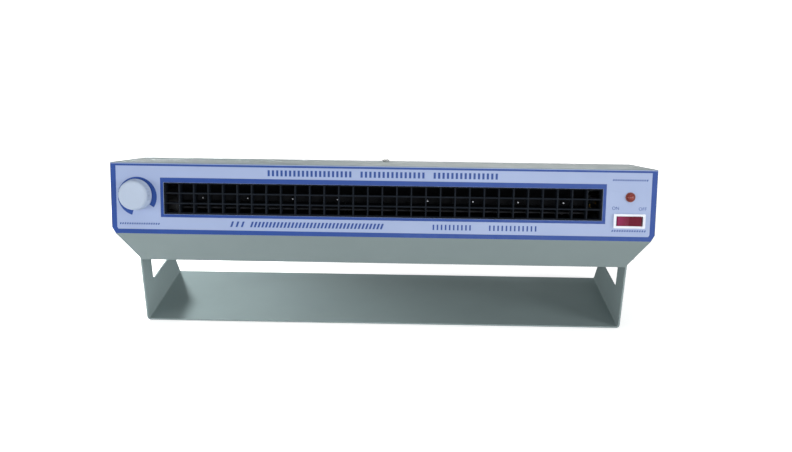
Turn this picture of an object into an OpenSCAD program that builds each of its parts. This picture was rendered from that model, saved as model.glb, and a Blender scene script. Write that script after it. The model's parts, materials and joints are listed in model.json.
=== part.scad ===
// Benchtop ionizing blower: a long sheet metal casing with a cross-flow fan, tilting in a U shaped stand.
// World frame: +X to the right of the front panel, +Y to the rear, +Z up, origin on the bench under the
// middle of the stand. Casing frame, used inside casing(): x as in the world, y = depth behind the
// front panel, z = height above the lower edge of the front panel.

/* [Casing] */
// Width across the front panel
casing_w = 600; // [580:1:640]
// Height of the upright front panel
panel_h = 79.2; // [76:0.1:90]
// Depth from the front panel to the back of the cover
casing_d = 115.6; // [114:0.1:130]
// Height of the slanted apron below the panel
apron_h = 33.2; // [32:0.1:36]
// How far the apron runs back over its height
apron_run = 25; // [22:0.5:27]
// How far the lower body stands in at each end
side_step = 25; // [24.5:0.1:27]
// Width of the cut lower corners of the front panel
corner_w = 4; // [3:0.5:6]
// Height of the cut lower corners of the front panel
corner_h = 7; // [5:0.5:9]
// Thickness of the casing sheet
sheet_t = 1.2; // [0.8:0.1:1.4]
// Depth of the folded edge round the front panel
panel_return = 12; // [8:1:16]
// Depth of the cover's rear flange
cover_lip = 11; // [8:0.5:12]

/* [Stand] */
// Depth of the stand's base plate
stand_d = 134; // [126:1:150]
// Thickness of the stand's plate
stand_t = 2; // [1.5:0.1:2.4]
// Radius of the stand's lower bends
stand_bend = 4; // [3:0.5:6]
// Height of the low side wall
wall_h = 38; // [30:1:44]
// Width of the upright arm
arm_w = 30; // [24:0.5:31]
// Distance of the arm behind the front edge of the base
arm_setback = 0.5; // [0.2:0.1:3]
// Height of the tilt axis above the bench
pivot_h = 91.7; // [90:0.1:110]
// Tilt of the casing, front edge up
tilt = 14.1; // [8:0.1:30]
// Gap between the lower body and the stand's side wall
side_gap = 2; // [1.5:0.1:2.5]

/* [Outlet] */
// Distance from the casing's end to the outlet opening
outlet_margin = 58.6; // [56:0.1:70]
// Height of the outlet opening
outlet_h = 35.2; // [32:0.1:38]
// Height of the opening's lower edge above the panel's lower edge
outlet_u = 22.5; // [20:0.1:25]
// Number of rows between the grille's long bars
grille_rows = 3; // [2:1:4]
// Number of columns between the grille's fins
grille_cols = 30; // [20:1:40]
// Thickness of the grille's bars and fins
bar_t = 1.5; // [1:0.1:2.2]
// Depth of the grille
grille_depth = 12; // [8:0.5:13]

/* [Fan] */
// Outer radius of the impeller
fan_r = 31; // [28:0.5:32]
// Number of impeller blades
blade_n = 28; // [20:1:36]
// Thickness of a blade
blade_t = 0.8; // [0.5:0.1:1]
// Number of impeller sections between discs
section_n = 5; // [3:1:6]
// Radius of the fan's shaft
shaft_r = 3; // [2.5:0.1:4]
// Radius of the motor's can
motor_r = 29; // [26:0.5:29.5]
// Length of the motor's can
motor_l = 32; // [28:0.5:33]

/* [Controls] */
// Distance from the casing's end to the knob's axis
knob_inset = 28.5; // [26:0.1:32]
// Height of the knob's axis on the panel
knob_u = 44; // [38:0.1:46]
// Radius of the knob at its foot
knob_r = 17.4; // [15:0.1:20]
// How much narrower the knob is at its front
knob_taper = 1.2; // [0.8:0.1:3]
// Height of the knob
knob_h = 12.8; // [10:0.1:18]
// Distance from the casing's end to the switch and the lamp
switch_inset = 29; // [27:0.1:32]
// Height of the switch's middle on the panel
switch_u = 22.8; // [20:0.1:24]
// Width of the switch's bezel
bezel_w = 34.5; // [32:0.1:36]
// Height of the switch's bezel
bezel_h = 15.8; // [14:0.1:17]
// Width of the rocker
rocker_w = 28; // [26:0.1:29]
// Height of the rocker
rocker_h = 10.2; // [8:0.1:10.8]
// Angle that the rocker tips between its two positions
rocker_throw = 16; // [12:1:18]
// Height of the lamp on the panel
lamp_u = 49; // [44:0.1:58]
// Radius of the lamp's lens
lamp_r = 4; // [2.5:0.1:4.5]

/* [Emitters] */
// Number of emitter pins
pin_n = 9; // [5:1:15]
// Length of an emitter pin in front of its rail
pin_l = 7; // [5:0.5:8]

/* [Hidden] */
$fn = 48;
run_fit = 0.05;      // radial clearance of a shaft in its bore
seat_gap = 0.2;      // gap between pieces that seat on each other without touching
overlay_t = 0.4;     // thickness of the printed overlay
overlay_inset = 0.5; // bare metal left round the overlay

half_w = casing_w / 2;
low_half = half_w - side_step;
inner_half = half_w - sheet_t;
rear_b = casing_d - sheet_t;           // outer face of the rear wall, under the cover's flange
apron_len = norm([apron_run, apron_h]);
apron_angle = atan(apron_run / apron_h);
apron_back = sheet_t / cos(apron_angle) + seat_gap;  // behind the apron's outer face, clear of its sheet

tray_lip = 14;       // height of the tray's front lip behind the apron
rim_h = 16;          // height of the rims inside the cover
top_screw_b = casing_d - 9;
top_screw_r = 2;
side_screws_b = [panel_return + 22, casing_d - 20];
side_screw_u = 8;
side_screw_r = 1.5;

stand_half = low_half + side_gap + stand_t;
arm_y = -stand_d / 2 + arm_setback + arm_w / 2;
pivot_b = 39.2;      // tilt axis behind the front panel
pivot_u = -17;       // tilt axis below the panel's lower edge
pivot_r = 2.5;       // shank of the tilt knob's screw
clamp_nut_l = 4;     // nut behind the casing's wall
wall_slope = 60;     // rear edge of the side wall, above the horizontal
wall_toe = 6;        // height at which that slope starts
arm_fillet = 7;      // between the side wall and the arm

intake_rim = 7;      // frame of the intake grille round the window
cover_gap = 1.2;     // between the intake grille and the cover's flange
filter_t = 5;

outlet_w = casing_w - 2 * outlet_margin;
outlet_mid = outlet_u + outlet_h / 2;
grille_b = sheet_t + seat_gap;
grille_back = grille_b + grille_depth;
flange_w = 4;        // flange of the grille behind the panel
flange_t = 2;

fan_place = 0.576;   // share of the depth between the grille and the filter mat, in front of the fan's axis
fan_b = grille_back + fan_place * (rear_b - sheet_t - filter_t - grille_back);
fan_u = (panel_h - apron_h) / 2 - 1;
plate_x = outlet_w / 2 - 15;           // inner face of the fan's end plates
plate_t = 1.5;
end_gap = 4;         // between impeller and end plate
fan_half = plate_x - end_gap;
disc_t = 1.2;
blade_depth = 8;
blade_sweep = 26;
guide_t = 1;
scroll_gap = 3;
tongue_gap = 3;
tray_floor = -apron_h + sheet_t;

bore_r = shaft_r + run_fit;
boss_r = 9;
boss_l = 9;
mount_r = motor_r - 5;                 // radius of the motor's four fixing points
grommet_t = 3;       // grommet between the motor and its end plate
grommet_rim = 1.5;   // its rim on the other side of the plate
motor_x = -plate_x - plate_t - grommet_t;

window_w = 2 * plate_x - 20;           // intake window in the rear wall
window_u = 9.2 - apron_h;
window_h = panel_h - cover_lip - cover_gap - intake_rim - window_u;
slot_w = 4;
slot_pitch = 8;

knob_x = -half_w + knob_inset;
control_x = half_w - switch_inset;
pot_r = 12;
pot_l = 11;
bush_r = 4.5;
knob_foot = -overlay_t - 0.8;        // back face of the knob
knob_recess = 4;     // recess in the knob's foot over the pot's nut
rocker_pivot = 3.2;
rocker_rest = rocker_throw / 2;
trunnion_r = 1.4;
switch_depth = 15;
switch_wall = 1.5;   // wall of the switch's body round the rocker
switch_w = rocker_w + 2 * switch_wall;
switch_h = rocker_h + 2 * switch_wall;

rail_b = 24;
rail_s = 7;
pin_r = 0.75;
hv_d = 44;           // depth and height of the high voltage transformer
hv_h = 42;
board_x = -120;      // corner, length, depth and thickness of the control board
board_b = 48;
board_l = 110;
board_d = 54;
board_t = 1.6;
board_inset = 5;     // from the board's edges to its pillars
pillar_h = 5;
fuse_u = panel_h - 19.2;
stud_u = fuse_u - 2;
inlet_x = control_x - 17;
inlet_u = fuse_u - 28;
inlet_w = 28;
inlet_h = 22;
inlet_depth = 20;
inlet_ears = 40;
stud_x = inlet_x + 30;

paint = [0.60, 0.65, 0.66];
dark_paint = [0.47, 0.52, 0.52];
black = [0.08, 0.09, 0.11];
steel = [0.72, 0.73, 0.75];
brass = [0.80, 0.66, 0.34];

// ---------------------------------------------------------------- helpers

// Points on an arc about c, from angle a0 to a1
function arc(c, r, a0, a1, n) = [for (i = [0 : n]) let (a = a0 + (a1 - a0) * i / n) c + r * [cos(a), sin(a)]];
function left_of(p, q) = let (d = (q - p) / norm(q - p)) [-d[1], d[0]];
function beside(p, t) = [for (i = [0 : len(p) - 1])
    let (a = i > 0 ? left_of(p[i - 1], p[i]) : left_of(p[0], p[1]),
         b = i < len(p) - 1 ? left_of(p[i], p[i + 1]) : a,
         m = (a + b) / norm(a + b))
    p[i] + m * t / (m * a)];
function reversed(p) = [for (i = [len(p) - 1 : -1 : 0]) p[i]];
// Outline of a bent sheet: the path p with thickness t on its left
function bent(p, t) = concat(p, reversed(beside(p, t)));

// Stands the children's casing coordinates in the world
module casing() {
    translate([0, arm_y, pivot_h]) rotate([-tilt, 0, 0]) translate([0, -pivot_b, -pivot_u]) children();
}
// Extrudes a depth and height outline from x0 to x1
module across(x0, x1) {
    translate([x0, 0, 0]) rotate([90, 0, 90]) linear_extrude(x1 - x0) children();
}
// Extrudes a width and height outline from depth b0 to b1
module through(b0, b1) {
    translate([0, b1, 0]) rotate([90, 0, 0]) linear_extrude(b1 - b0) children();
}
module both_ends() {
    children();
    mirror([1, 0, 0]) children();
}
module at(x, u) { translate([x, u]) children(); }
module rounded(w, h, r) {
    square([w - 2 * r, h], center = true);
    square([w, h - 2 * r], center = true);
    for (sx = [-1, 1], sy = [-1, 1]) at(sx * (w / 2 - r), sy * (h / 2 - r)) circle(r);
}
// A pan head with its underside at the origin, looking along +Z
module pan_head(r, h) {
    edge = h * 0.6;
    rotate_extrude() polygon(concat([[0, 0], [r, 0]], arc([r - edge, h - edge], edge, 0, 90, 6), [[0, h]]));
}
module x_cylinder(r, l) { rotate([0, 90, 0]) cylinder(r = r, h = l); }
module y_cylinder(r, l) { rotate([-90, 0, 0]) cylinder(r = r, h = l); }

// ---------------------------------------------------------------- stand

// Side view of the stand's side wall and arm, from the front edge of the base
module side_wall_outline() {
    toe = stand_d - 1;
    slope_run = (wall_h - wall_toe) / tan(wall_slope);
    arm_back = arm_setback + arm_w;
    difference() {
        union() {
            polygon([[0, 0], [toe, 0], [toe, wall_toe], [toe - slope_run, wall_h],
                     [arm_back, wall_h], [arm_setback, wall_h], [0, wall_toe]]);
            at(arm_setback, wall_toe) square([arm_w, pivot_h - wall_toe]);
            at(arm_setback + arm_w / 2, pivot_h) circle(arm_w / 2);
            at(arm_back, wall_h) square(arm_fillet);
        }
        at(arm_back + arm_fillet, wall_h + arm_fillet) circle(arm_fillet);
        at(arm_setback + arm_w / 2, pivot_h) circle(pivot_r + run_fit);
    }
}

module stand_bracket() {
    floor_half = stand_half - stand_bend;
    color(dark_paint) {
        translate([-floor_half, -stand_d / 2, 0]) cube([2 * floor_half, stand_d, stand_t]);
        both_ends() {
            // the bend between the base and the side wall
            intersection() {
                translate([floor_half, stand_d / 2, stand_bend]) rotate([90, 0, 0])
                    linear_extrude(stand_d) difference() {
                        circle(stand_bend);
                        circle(stand_bend - stand_t);
                    }
                translate([floor_half, -stand_d / 2, 0]) cube([stand_bend, stand_d, stand_bend]);
            }
            translate([0, -stand_d / 2, 0]) intersection() {
                across(stand_half - stand_t, stand_half) side_wall_outline();
                translate([0, -1, stand_bend]) cube([stand_half + 1, stand_d + 2, pivot_h + arm_w]);
            }
        }
    }
}

// Thumb screw that clamps the tilt: the knurled head outside, the shank through the stand and the casing
module tilt_knob() {
    head_r = 10;
    collar_l = 1.5;
    head_l = 8;
    edge = 1.2;
    flutes = 20;
    shank_in = low_half - sheet_t - clamp_nut_l - 1;
    translate([shank_in, pivot_b, pivot_u]) x_cylinder(pivot_r, stand_half + seat_gap - shank_in);
    translate([stand_half + seat_gap, pivot_b, pivot_u]) {
        x_cylinder(head_r - 3, collar_l);
        translate([collar_l, 0, 0]) difference() {
            rotate([0, 90, 0]) rotate_extrude() polygon(concat([[0, 0], [head_r, 0]],
                arc([head_r - edge, head_l - edge], edge, 0, 90, 5), [[0, head_l]]));
            for (i = [0 : flutes - 1]) rotate([i * 360 / flutes, 0, 0])
                translate([-1, 0, head_r + 0.5]) x_cylinder(1, head_l + 2, $fn = 16);
        }
    }
}

module tilt_knob_left() { casing() color(steel) mirror([1, 0, 0]) tilt_knob(); }
module tilt_knob_right() { casing() color(steel) tilt_knob(); }

module tilt_washers() {
    washer_r = 13;
    casing() color("dimgray") both_ends() translate([low_half, pivot_b, pivot_u]) difference() {
        x_cylinder(washer_r, side_gap - seat_gap);
        translate([-1, 0, 0]) x_cylinder(pivot_r + run_fit, side_gap + 2);
    }
}

module clamp_nuts() {
    nut_r = 5;
    casing() color(steel) both_ends()
        translate([low_half - sheet_t - clamp_nut_l, pivot_b, pivot_u]) difference() {
        x_cylinder(nut_r, clamp_nut_l, $fn = 6);
        translate([-1, 0, 0]) x_cylinder(pivot_r + run_fit, clamp_nut_l + 2);
    }
}

// ---------------------------------------------------------------- casing

module control_cutouts() {
    at(0, outlet_mid) square([outlet_w, outlet_h], center = true);
    at(knob_x, knob_u) circle(bush_r + seat_gap);
    at(control_x, lamp_u) circle(lamp_r + 0.8);
    at(control_x, switch_u) square([switch_w + 2 * seat_gap, switch_h + 2 * seat_gap], center = true);
}

// The panel's face with its lower corners cut, drawn in by inset all round
module face_outline(inset = 0) {
    side = half_w - inset;
    polygon([[-side, panel_h - inset], [-side, corner_h], [corner_w - side, inset],
             [side - corner_w, inset], [side, corner_h], [side, panel_h - inset]]);
}

module front_panel() {
    apron_top = half_w - corner_w;
    apron_low = low_half + 1;
    casing() color(paint) {
        through(0, sheet_t) difference() {
            face_outline();
            control_cutouts();
        }
        // folded edges along the top and the ends
        translate([-half_w, 0, panel_h - sheet_t]) cube([casing_w, panel_return, sheet_t]);
        both_ends() across(half_w - sheet_t, half_w)
            polygon([[0, corner_h], [panel_return, 0], [panel_return, panel_h], [0, panel_h]]);
        // the apron, whose ends are cut back to clear the stand's arms
        rotate([apron_angle, 0, 0]) through(0, sheet_t)
            polygon([[-apron_top, 0], [apron_top, 0], [apron_low, -apron_len], [-apron_low, -apron_len]]);
    }
}

module panel_overlay() {
    casing() color([0.64, 0.71, 0.86]) through(-overlay_t, 0) difference() {
        face_outline(overlay_inset);
        control_cutouts();
    }
}

module side_screw_holes() {
    for (b = side_screws_b)
        translate([inner_half - 5, b, side_screw_u]) x_cylinder(side_screw_r + run_fit, 10);
}

module top_cover() {
    front_b = panel_return + seat_gap;
    casing() color(paint) {
        difference() {
            translate([-half_w, front_b, panel_h - sheet_t]) cube([casing_w, casing_d - front_b, sheet_t]);
            translate([0, top_screw_b, panel_h - sheet_t - 1])
                cylinder(r = top_screw_r + run_fit, h = sheet_t + 2);
        }
        both_ends() difference() {
            translate([inner_half, front_b, 0]) cube([sheet_t, casing_d - front_b, panel_h]);
            side_screw_holes();
        }
        translate([-half_w, rear_b, panel_h - cover_lip]) cube([casing_w, sheet_t, cover_lip]);
    }
}

function behind_apron(u) = -u * apron_run / apron_h + apron_back;

module rear_openings() {
    at(0, window_u + window_h / 2) square([window_w, window_h], center = true);
    at(inlet_x, inlet_u) square([inlet_w, inlet_h], center = true);
    at(inlet_x, fuse_u) circle(6.2);
    at(stud_x, stud_u) circle(2.1);
}

module chassis_tray() {
    edge_b = panel_return + seat_gap;
    rim_half = inner_half - seat_gap;
    casing() color(dark_paint) {
        // lip behind the apron, then the floor
        across(-low_half, low_half) polygon(bent([
            [behind_apron(-apron_h + tray_lip), -apron_h + tray_lip],
            [behind_apron(-apron_h), -apron_h],
            [rear_b, -apron_h]], sheet_t));
        // rear wall, with a tab for the cover's top screw
        through(rear_b - sheet_t, rear_b) difference() {
            union() {
                at(-low_half, -apron_h) square([2 * low_half, apron_h]);
                at(-rim_half, -sheet_t) square([2 * rim_half, panel_h - seat_gap]);
            }
            rear_openings();
        }
        translate([0, 0, panel_h - 2 * sheet_t - seat_gap]) difference() {
            translate([-12, rear_b - 16, 0]) cube([24, 16, sheet_t]);
            translate([0, top_screw_b, -1]) cylinder(r = top_screw_r + run_fit, h = sheet_t + 2);
        }
        both_ends() {
            // lower side wall with the hole for the tilt screw
            difference() {
                across(low_half - sheet_t, low_half) polygon([
                    [behind_apron(-apron_h), -apron_h], [rear_b, -apron_h], [rear_b, 0],
                    [edge_b, 0], [behind_apron(-apron_h / 3), -apron_h / 3]]);
                translate([low_half - sheet_t - 1, pivot_b, pivot_u])
                    x_cylinder(pivot_r + run_fit, sheet_t + 2);
            }
            // ledge over the stand's arm, and the rim that the cover slides over
            translate([low_half - sheet_t, edge_b, -sheet_t])
                cube([rim_half - low_half + sheet_t, rear_b - edge_b, sheet_t]);
            difference() {
                translate([rim_half - sheet_t, edge_b, -sheet_t]) cube([sheet_t, rear_b - edge_b, rim_h]);
                side_screw_holes();
            }
        }
    }
}

module cover_screws() {
    casing() color(steel) {
        translate([0, top_screw_b, panel_h]) pan_head(4.2, 3);
        translate([0, top_screw_b, panel_h - 8]) cylinder(r = top_screw_r, h = 8);
        both_ends() for (b = side_screws_b) translate([half_w, b, side_screw_u]) {
            rotate([0, 90, 0]) pan_head(3, 2);
            translate([-7, 0, 0]) x_cylinder(side_screw_r, 7);
        }
    }
}

// ---------------------------------------------------------------- air path

module outlet_grille() {
    inner_w = outlet_w - 2 * bar_t;
    inner_h = outlet_h - 2 * bar_t;
    pitch_x = (inner_w + bar_t) / grille_cols;
    pitch_u = (inner_h + bar_t) / grille_rows;
    casing() color(black) {
        through(grille_b, grille_b + flange_t) at(0, outlet_mid) difference() {
            square([outlet_w + 2 * flange_w, outlet_h + 2 * flange_w], center = true);
            square([inner_w, inner_h], center = true);
        }
        through(grille_b + 1.5, grille_back) at(0, outlet_mid) {
            difference() {
                square([outlet_w, outlet_h], center = true);
                square([inner_w, inner_h], center = true);
            }
            for (i = [1 : grille_rows - 1])
                at(-outlet_w / 2, -inner_h / 2 - bar_t + i * pitch_u) square([outlet_w, bar_t]);
            for (i = [1 : grille_cols - 1])
                at(-inner_w / 2 - bar_t + i * pitch_x, -outlet_h / 2) square([bar_t, outlet_h]);
        }
    }
}

module intake_grille() {
    w = window_w + 2 * intake_rim;
    h = window_h + 2 * intake_rim;
    count = floor((window_w - slot_w) / slot_pitch);
    casing() color(black) through(rear_b, rear_b + 1.5) at(0, window_u + window_h / 2) difference() {
        square([w, h], center = true);
        for (i = [0 : count], s = [-1, 1]) at((i - count / 2) * slot_pitch, s * window_h / 4)
            square([slot_w, window_h / 2 - 4], center = true);
        for (x = [-1, 0, 1], s = [-1, 1]) at(x * (w / 2 - 4), s * (h / 2 - 3.5)) circle(1.6);
    }
}

module intake_screws() {
    w = window_w + 2 * intake_rim;
    h = window_h + 2 * intake_rim;
    casing() color(steel) for (x = [-1, 0, 1], s = [-1, 1])
        translate([x * (w / 2 - 4), rear_b + 1.5, window_u + window_h / 2 + s * (h / 2 - 3.5)]) {
            rotate([-90, 0, 0]) pan_head(2.8, 1.8);
            translate([0, -1.5, 0]) y_cylinder(1.5, 1.5);
        }
}

module filter_mat() {
    casing() color([0.25, 0.25, 0.27])
        translate([-window_w / 2 - 6, rear_b - sheet_t - filter_t, window_u + 1])
        cube([window_w + 12, filter_t, window_h - 8]);
}

// The guide that wraps the lower half of the impeller and leads the air to the outlet
module air_scroll() {
    steps = 14;
    centre = [fan_b, fan_u];
    wrap = [for (i = [0 : steps]) let (a = 6 - 162 * i / steps, r = fan_r + scroll_gap + 3.5 * i / steps)
        centre + r * [cos(a), sin(a)]];
    lip = [grille_back + seat_gap, outlet_u - 1];
    casing() color(black) across(-plate_x, plate_x) polygon(bent(concat(wrap, [lip]), guide_t));
}

// The tongue that parts the intake from the outlet above the impeller
module air_tongue() {
    centre = [fan_b, fan_u];
    mouth = [grille_back + seat_gap, outlet_u + outlet_h + 1];
    curl = arc(centre, fan_r + tongue_gap, 150, 118, 6);
    roof = [fan_b - 14, panel_h - 8];
    casing() color(black) across(-plate_x, plate_x) polygon(bent(concat([mouth], curl, [roof]), guide_t));
}

module end_plate_outline() {
    difference() {
        polygon([[grille_back + seat_gap, 2], [apron_run + 14, tray_floor + seat_gap],
                 [rear_b - sheet_t - filter_t - 1, tray_floor + seat_gap],
                 [rear_b - sheet_t - filter_t - 1, panel_h - sheet_t - seat_gap - 1],
                 [grille_back + seat_gap, panel_h - sheet_t - seat_gap - 1]]);
        at(fan_b, fan_u) circle(boss_r);
        at(rail_b, outlet_mid) square(rail_s + 2 * run_fit, center = true);
        at(rail_b - 3, outlet_u + 6) circle(1.5 + run_fit);
    }
}

module end_plate_left() {
    casing() color(black) difference() {
        across(-plate_x - plate_t, -plate_x) end_plate_outline();
        for (a = [45 : 90 : 315]) translate([-plate_x - plate_t - 1, fan_b, fan_u]) rotate([a, 0, 0])
            translate([0, mount_r, 0]) x_cylinder(3, plate_t + 2);
    }
}

module end_plate_right() { casing() color(black) across(plate_x, plate_x + plate_t) end_plate_outline(); }

// One forward curved blade in the impeller's cross-section
module blade() {
    chord = blade_depth + 1;
    bow = chord / (2 * sin(blade_sweep));
    middle = [fan_r - blade_depth / 2 - 0.6, bow * cos(blade_sweep)];
    polygon(bent(arc(middle, bow, -90 - blade_sweep, -90 + blade_sweep, 3), blade_t));
}

module impeller() {
    pitch = (2 * fan_half - disc_t) / section_n;
    casing() color([0.13, 0.14, 0.15]) translate([0, fan_b, fan_u]) {
        across(-fan_half, fan_half) for (i = [0 : blade_n - 1]) rotate(i * 360 / blade_n) blade();
        for (i = [0 : section_n]) translate([-fan_half + i * pitch, 0, 0]) difference() {
            x_cylinder(fan_r, disc_t);
            if (i > 0 && i < section_n) translate([-1, 0, 0]) x_cylinder(fan_r - blade_depth - 3, disc_t + 2);
            translate([-1, 0, 0]) x_cylinder(shaft_r, disc_t + 2);
        }
    }
}

// Stub shafts: the motor's shaft on the left, the bearing's on the right
module impeller_shaft() {
    casing() color(steel) translate([0, fan_b, fan_u]) {
        translate([-plate_x - plate_t - seat_gap - motor_l - 5, 0, 0])
            x_cylinder(shaft_r, motor_l + 5 + plate_t + seat_gap + end_gap + 14);
        translate([fan_half - 14, 0, 0]) x_cylinder(shaft_r, 14 + end_gap + plate_t + boss_l + 1);
    }
}

module shaft_coupler() {
    casing() color("dimgray") translate([0, fan_b, fan_u]) both_ends()
        translate([fan_half - disc_t - 10, 0, 0]) difference() {
            union() {
                x_cylinder(9, 10);
                translate([6, 0, 0]) x_cylinder(13, 4);
            }
            translate([-1, 0, 0]) x_cylinder(shaft_r, 12);
        }
}

module bearing_block() {
    casing() color(dark_paint) translate([plate_x - 2, fan_b, fan_u]) difference() {
        union() {
            x_cylinder(boss_r - run_fit, boss_l + 2);
            translate([2 + plate_t, 0, 0]) x_cylinder(boss_r + 5, 3);
        }
        translate([-1, 0, 0]) x_cylinder(shaft_r + 3, boss_l + 4);
    }
}

module bearing_bush() {
    casing() color(brass) translate([plate_x - 2, fan_b, fan_u]) difference() {
        x_cylinder(shaft_r + 3, boss_l + 2);
        translate([-1, 0, 0]) x_cylinder(bore_r, boss_l + 4);
    }
}

// Places the children at the motor's four fixing points
module motor_points() {
    for (a = [45 : 90 : 315]) rotate([a, 0, 0]) translate([0, mount_r, 0]) children();
}

module fan_motor() {
    lug_l = 6;
    hub_l = motor_l + 3;
    casing() color([0.55, 0.56, 0.58]) translate([motor_x, fan_b, fan_u]) mirror([1, 0, 0]) difference() {
        union() {
            x_cylinder(motor_r - 1.5, motor_l);
            translate([5, 0, 0]) x_cylinder(motor_r, motor_l - 10);
            x_cylinder(boss_r - 1, hub_l);
            motor_points() x_cylinder(4, lug_l);
        }
        translate([-1, 0, 0]) x_cylinder(bore_r, hub_l + 2);
        motor_points() translate([-1, 0, 0]) x_cylinder(1.5, lug_l + 2);
    }
}

module motor_grommets() {
    casing() color(black) translate([motor_x, fan_b, fan_u]) motor_points() difference() {
        union() {
            x_cylinder(5, grommet_t);
            translate([grommet_t, 0, 0]) x_cylinder(3, plate_t);
            translate([grommet_t + plate_t, 0, 0]) x_cylinder(5, grommet_rim);
        }
        translate([-1, 0, 0]) x_cylinder(1.5, grommet_t + plate_t + grommet_rim + 2);
    }
}

module motor_screws() {
    shank_l = grommet_rim + plate_t + grommet_t + 5.5;
    casing() color(steel) translate([-plate_x + grommet_rim, fan_b, fan_u]) motor_points() {
        rotate([0, 90, 0]) pan_head(2.8, 1.6);
        translate([-shank_l, 0, 0]) x_cylinder(1.5, shank_l);
    }
}

// ---------------------------------------------------------------- ionizer

// Places the children at the emitter pins, on the front face of their rail
module along_rail() {
    pitch = 2 * plate_x / pin_n;
    for (i = [0 : pin_n - 1])
        translate([(i - (pin_n - 1) / 2) * pitch, rail_b - rail_s / 2, outlet_mid]) children();
}

module emitter_rail() {
    rail_half = plate_x + plate_t;
    casing() color(black) difference() {
        union() {
            translate([-rail_half, rail_b - rail_s / 2, outlet_mid - rail_s / 2])
                cube([2 * rail_half, rail_s, rail_s]);
            along_rail() translate([0, -2, 0]) y_cylinder(2.4, 3);
        }
        along_rail() translate([0, -3, 0]) y_cylinder(pin_r, rail_s);
    }
}

module emitter_pins() {
    casing() color("silver") along_rail() translate([0, -pin_l, 0]) y_cylinder(pin_r, pin_l + rail_s - 3);
}

module ground_rod() {
    casing() color(steel) translate([-plate_x - plate_t, rail_b - 3, outlet_u + 6])
        x_cylinder(1.5, 2 * (plate_x + plate_t));
}

module hv_transformer() {
    side = 3;            // left free beside it at both ends
    casing() color([0.16, 0.17, 0.2]) translate([plate_x + plate_t + side, fan_b - 10, tray_floor]) {
        cube([low_half - sheet_t - plate_x - plate_t - 2 * side, hv_d, hv_h]);
        translate([8, -4, 0]) cube([10, hv_d + 8, 2]);
    }
}

module control_board() {
    casing() color([0.10, 0.38, 0.20]) translate([board_x, board_b, tray_floor + pillar_h]) difference() {
        cube([board_l, board_d, board_t]);
        for (x = [board_inset, board_l - board_inset], b = [board_inset, board_d - board_inset])
            translate([x, b, -1]) cylinder(r = 1.6, h = board_t + 2);
    }
}

module board_parts() {
    casing() translate([board_x, board_b, tray_floor + pillar_h + board_t]) {
        color([0.15, 0.15, 0.5]) for (i = [0 : 2]) translate([12 + i * 14, 10, 0]) cylinder(r = 4, h = 6);
        color(black) translate([58, 6, 0]) cube([16, 12, 5]);
        color([0.85, 0.7, 0.2]) translate([80, 6, 0]) cube([18, 14, 6]);
        color(steel) translate([50, 30, 0]) cube([34, 16, 5]);
        color("white") translate([16, 34, 0]) cube([20, 8, 6]);
    }
}

module board_pillars() {
    casing() color(brass) translate([board_x, board_b, tray_floor])
        for (x = [board_inset, board_l - board_inset], b = [board_inset, board_d - board_inset])
            translate([x, b, 0]) {
                cylinder(r = 3, h = pillar_h, $fn = 6);
                cylinder(r = 1.5, h = pillar_h + 2);
                translate([0, 0, pillar_h + board_t]) pan_head(2.8, 1.8);
            }
}

// ---------------------------------------------------------------- controls

module speed_knob() {
    top_r = knob_r - knob_taper;
    edge = 2.5;
    flutes = 24;
    flute_r = 1.2;
    recess_r = 7.5;
    profile = concat([[shaft_r, knob_recess], [recess_r, knob_recess], [recess_r, 0],
                      [knob_r, 0], [knob_r, 1.6], [knob_r - 0.6, 2.2]],
                     arc([top_r - edge, knob_h - edge], edge, 0, 90, 6),
                     [[0, knob_h], [0, knob_h - 4], [shaft_r, knob_h - 4]]);
    casing() color([0.90, 0.91, 0.92])
        translate([knob_x, knob_foot, knob_u]) rotate([90, 0, 0]) difference() {
        rotate_extrude($fn = 96) polygon(profile);
        for (i = [0 : flutes - 1]) rotate((i + 0.5) * 360 / flutes) translate([top_r + flute_r - 0.3, 0, 3.2])
            cylinder(r = flute_r, h = knob_h);
    }
}

module pot_shaft() {
    casing() color(steel) translate([knob_x, knob_foot - knob_h + 4, knob_u])
        y_cylinder(shaft_r, knob_h - 4 - knob_foot + sheet_t + 8);
}

module pot_body() {
    bush_front = -overlay_t - 3.4;
    casing() color([0.35, 0.33, 0.30]) translate([knob_x, 0, knob_u]) difference() {
        union() {
            translate([0, sheet_t, 0]) y_cylinder(pot_r, pot_l);
            translate([0, bush_front, 0]) y_cylinder(bush_r, sheet_t - bush_front);
            for (x = [-5, 0, 5]) translate([x - 1, sheet_t + 4, -pot_r - 5]) cube([2, 0.8, 8]);
        }
        translate([0, bush_front - 1, 0]) y_cylinder(shaft_r + run_fit, sheet_t + 9 - bush_front);
    }
}

module pot_nut() {
    casing() color(steel) translate([knob_x, -overlay_t - 2.4, knob_u]) difference() {
        y_cylinder(6.4, 2.4, $fn = 6);
        translate([0, -1, 0]) y_cylinder(bush_r, 5);
    }
}

module lamp_lens() {
    casing() color([0.92, 0.28, 0.14]) translate([control_x, -overlay_t - 1, lamp_u]) rotate([90, 0, 0])
        rotate_extrude() polygon(concat([[0, -8], [lamp_r - 0.6, -8], [lamp_r - 0.6, 0]],
                                        arc([0, 0], lamp_r - 0.6, 0, 90, 8)));
}

module lamp_holder() {
    casing() color(steel) translate([control_x, 0, lamp_u]) difference() {
        union() {
            translate([0, -overlay_t - 1, 0]) y_cylinder(lamp_r + 1.4, 1);
            translate([0, -overlay_t, 0]) y_cylinder(lamp_r + 0.6, 9);
            translate([0, sheet_t, 0]) y_cylinder(lamp_r + 2.5, 2.5, $fn = 6);
        }
        translate([0, -overlay_t - 2, 0]) y_cylinder(lamp_r - 0.5, 14);
    }
}

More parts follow.
